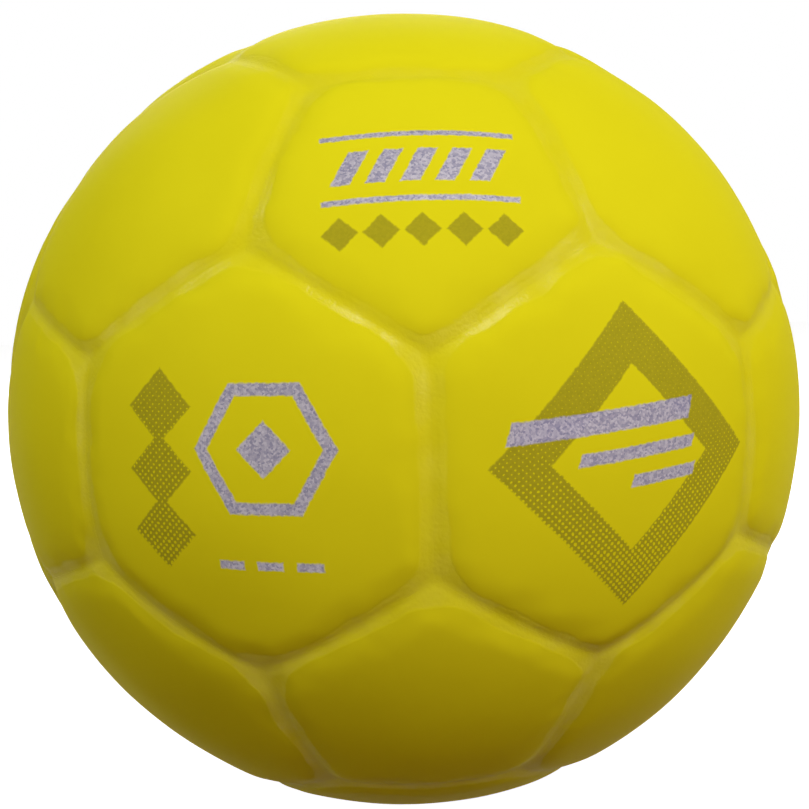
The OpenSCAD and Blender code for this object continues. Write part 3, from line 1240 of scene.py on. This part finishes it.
@dataclass(frozen=True)
class PhotoCamera:
    """The photograph's view: distance in ball radii, turns in degrees, and the ball in pixels."""

    distance: float = 2.733
    pitch: float = 6.35
    roll: float = -1.9
    yaw: float = 3.0
    outline_px: float = 395.9
    centre_px: tuple[float, float] = (403.25, 408.7)
    clip_share: float = 0.1

    def build(self, ball_radius: float) -> None:
        """Makes the scene's camera.

        Args:
            ball_radius: The ball's radius, in metres.
        """
        turn = (Matrix.Rotation(math.radians(self.yaw), 3, "Z")
                @ Matrix.Rotation(math.radians(self.pitch), 3, "X")
                @ Matrix.Rotation(math.radians(self.roll), 3, "Y"))
        back = turn.transposed()
        lens_to_world = Matrix(((1, 0, 0), (0, 0, -1), (0, 1, 0)))
        focal_px = self.outline_px * math.sqrt(self.distance ** 2 - 1)
        data = bpy.data.cameras.new("photo camera")
        data.sensor_width = SENSOR_MM
        data.lens = focal_px / IMAGE_PX * SENSOR_MM
        data.shift_x = (IMAGE_PX / 2 - self.centre_px[0]) / IMAGE_PX
        data.shift_y = (self.centre_px[1] - IMAGE_PX / 2) / IMAGE_PX
        data.clip_start = self.clip_share * ball_radius
        camera = bpy.data.objects.new("photo camera", data)
        camera.matrix_world = (back @ lens_to_world).to_4x4()
        camera.location = back @ Vector((0, -self.distance * ball_radius, 0))
        bpy.context.scene.collection.objects.link(camera)
        bpy.context.scene.camera = camera


@dataclass(frozen=True)
class Lamp:
    """A square softbox that faces the ball."""

    name: str
    place: tuple[float, float, float]
    width: float
    power: float
    colour: str

    def build(self) -> None:
        """Makes the lamp."""
        data = bpy.data.lights.new(self.name, "AREA")
        data.size = self.width
        data.energy = self.power
        data.color = linear(self.colour)[:3]
        lamp = bpy.data.objects.new(self.name, data)
        lamp.location = self.place
        lamp.rotation_mode = "QUATERNION"
        lamp.rotation_quaternion = (-Vector(self.place)).to_track_quat("-Z", "Y")
        bpy.context.scene.collection.objects.link(lamp)


@dataclass(frozen=True)
class Studio:
    """Soft lamps, a dim warm room, and a floor that lights the ball as warm brown but shows white."""

    lamps: tuple[Lamp, ...]
    room_colour: str = "#FFF0DC"
    room_strength: float = 0.01
    floor_size: float = 6.0
    floor_colour: str = "#562A14"
    floor_glow: float = 0.95
    shown_floor_colour: str = "#FFFFFF"

    def build(self, floor_z: float) -> None:
        """Makes the floor, the lamps and the world.

        Args:
            floor_z: Height of the floor, in metres.
        """
        for lamp in self.lamps:
            lamp.build()
        self._floor(floor_z)
        self._world()
        bpy.context.scene.view_settings.view_transform = "Standard"

    @staticmethod
    def _sight(tree: Tree) -> Node:
        """Adds the nodes that tell rays that see the backdrop from those that light the ball.

        Args:
            tree: The tree that gets them.

        Returns:
            The node that is 1 for rays from the camera and from gloss and glass.
        """
        path = add_node(tree, "ShaderNodeLightPath")
        seen = add_node(tree, MATH, path.outputs["Is Camera Ray"], path.outputs["Is Glossy Ray"],
                        operation="ADD", use_clamp=True)
        return add_node(tree, MATH, seen, path.outputs["Is Transmission Ray"], operation="ADD",
                        use_clamp=True)

    def _floor(self, floor_z: float) -> None:
        """Makes the floor.

        Args:
            floor_z: Its height, in metres.
        """
        half = self.floor_size / 2
        mesh = bpy.data.meshes.new("floor")
        mesh.from_pydata([(x * half, y * half, floor_z) for x, y in ((-1, -1), (1, -1), (1, 1), (-1, 1))],
                         [], [(0, 1, 2, 3)])
        floor = bpy.data.objects.new("floor", mesh)
        bpy.context.scene.collection.objects.link(floor)
        made = bpy.data.materials.new("matt paper floor")
        made.use_nodes = True
        tree = made.node_tree
        tree.nodes.clear()
        lit = add_node(tree, "ShaderNodeBsdfDiffuse", linear(self.floor_colour))
        pale = add_node(tree, "ShaderNodeBsdfDiffuse", linear(self.shown_floor_colour))
        glow = add_node(tree, "ShaderNodeEmission", linear(self.shown_floor_colour), self.floor_glow)
        shown = add_node(tree, "ShaderNodeAddShader", pale, glow)
        both = add_node(tree, "ShaderNodeMixShader", self._sight(tree), lit, shown)
        add_node(tree, "ShaderNodeOutputMaterial", both)
        mesh.materials.append(made)

    def _world(self) -> None:
        """Makes the room's dim light, and the white that the camera sees behind the floor."""
        world = bpy.data.worlds.new("white room")
        world.use_nodes = True
        tree = world.node_tree
        tree.nodes.clear()
        dim = add_node(tree, "ShaderNodeBackground", linear(self.room_colour), self.room_strength)
        white = add_node(tree, "ShaderNodeBackground", linear(self.shown_floor_colour), 1.0)
        both = add_node(tree, "ShaderNodeMixShader", self._sight(tree), dim, white)
        add_node(tree, "ShaderNodeOutputWorld", both)
        bpy.context.scene.world = world


def panel_prints(places: list[Place]) -> tuple[Print, ...]:
    """Lays out the plain figures that are screened on the three front panels.

    Args:
        places: Where the panels sit.

    Returns:
        The prints.
    """
    silver = Ink("#B9B6C4", "#6E6E92", cover=0.96, fleck_share=0.8, metal=0.25)
    olive = Ink("#A8A026", "#8C8620", cover=0.8, fleck_share=0.5)
    olive_dots = replace(olive, dot_pitch=0.65 * MM)
    top_left_right = ((0, -0.85, 0.53), (-0.36, -0.93, 0), (0.36, -0.93, 0))
    top, left, right = (max(places, key=lambda each: each.axis.dot(Vector(way))).axis
                        for way in top_left_right)
    return (
        Print(top, silver, (
            *(Bar((6 * step * MM, 2 * MM), length=3.4 * MM, width=7 * MM, slant=0.5)
              for step in range(-2, 3)),
            Bar((0, 9 * MM), length=34 * MM, width=1.1 * MM),
            Bar((0, -5 * MM), length=34 * MM, width=1.1 * MM),
        )),
        Print(top, olive, tuple(Frame((7 * step * MM, -11 * MM), Outline.DIAMOND, 2.2 * MM)
                                for step in range(-2, 3))),
        Print(left, silver, (
            Frame((6 * MM, 4 * MM), Outline.HEXAGON, 11 * MM, 2.1 * MM),
            Frame((6 * MM, 4 * MM), Outline.DIAMOND, 3.4 * MM),
            *(Bar(((6 + 7 * step) * MM, -16 * MM), length=4.6 * MM, width=1.5 * MM) for step in (-1, 0, 1)),
        )),
        Print(left, olive_dots, tuple(Frame((-14 * MM, 11 * step * MM), Outline.DIAMOND, 4.6 * MM)
                                      for step in (-1, 0, 1)), solid_above=20 * MM),
        Print(right, olive_dots, (
            Frame((2 * MM, 0), Outline.DIAMOND, 19 * MM, 7.5 * MM),
        )),
        Print(right, silver, (
            Bar((-3 * MM, 7 * MM), length=36 * MM, width=3.8 * MM, slant=0.4),
            Bar((3 * MM, 1 * MM), length=24 * MM, width=2.2 * MM, slant=0.4),
            Bar((8 * MM, -4 * MM), length=14 * MM, width=2.2 * MM, slant=0.4),
        ), turn=4.0),
    )


def photo_lamps() -> tuple[Lamp, ...]:
    """Places the lamps: small high ones for the glints, broad low ones for even light."""
    return (
        Lamp("high softbox", (0.12, -0.85, 1.05), 0.4, 5.7, "#FFFFFF"),
        Lamp("high left softbox", (-0.98, -0.15, 0.98), 0.3, 1.7, "#FFFFFF"),
        Lamp("high right softbox", (0.95, -0.4, 0.92), 0.3, 1.0, "#FFFFFF"),
        Lamp("right softbox", (0.75, -0.9, 0.8), 1.2, 7.2, "#FFFFFF"),
        Lamp("front softbox", (0.6, -1.0, 0.3), 1.1, 3.3, "#FFD8E0"),
        Lamp("left softbox", (-1.2, -0.5, 0.2), 0.9, 4.6, "#FFFAF4"),
        Lamp("right fill", (1.2, -0.5, 0.15), 1.2, 0.7, "#FFF0E8"),
        Lamp("back softbox", (-0.2, 1.3, 0.55), 1.0, 9.0, "#FFFFFF"),
    )


def main() -> None:
    """Builds the ball and its studio, in order."""
    logging.basicConfig(level=logging.INFO, format="%(name)s: %(message)s")
    layers = Layers()
    places = PanelPattern().places()
    skin = FoamedSkin(panel_prints(places), layers.ball_radius)
    Cover(layers, Relief(), skin, ClosedCellFoam()).build(places)
    InnerParts().build()
    PhotoCamera().build(layers.ball_radius)
    Studio(photo_lamps()).build(CAD_BOX[0].z)


if __name__ == "__main__":
    main()
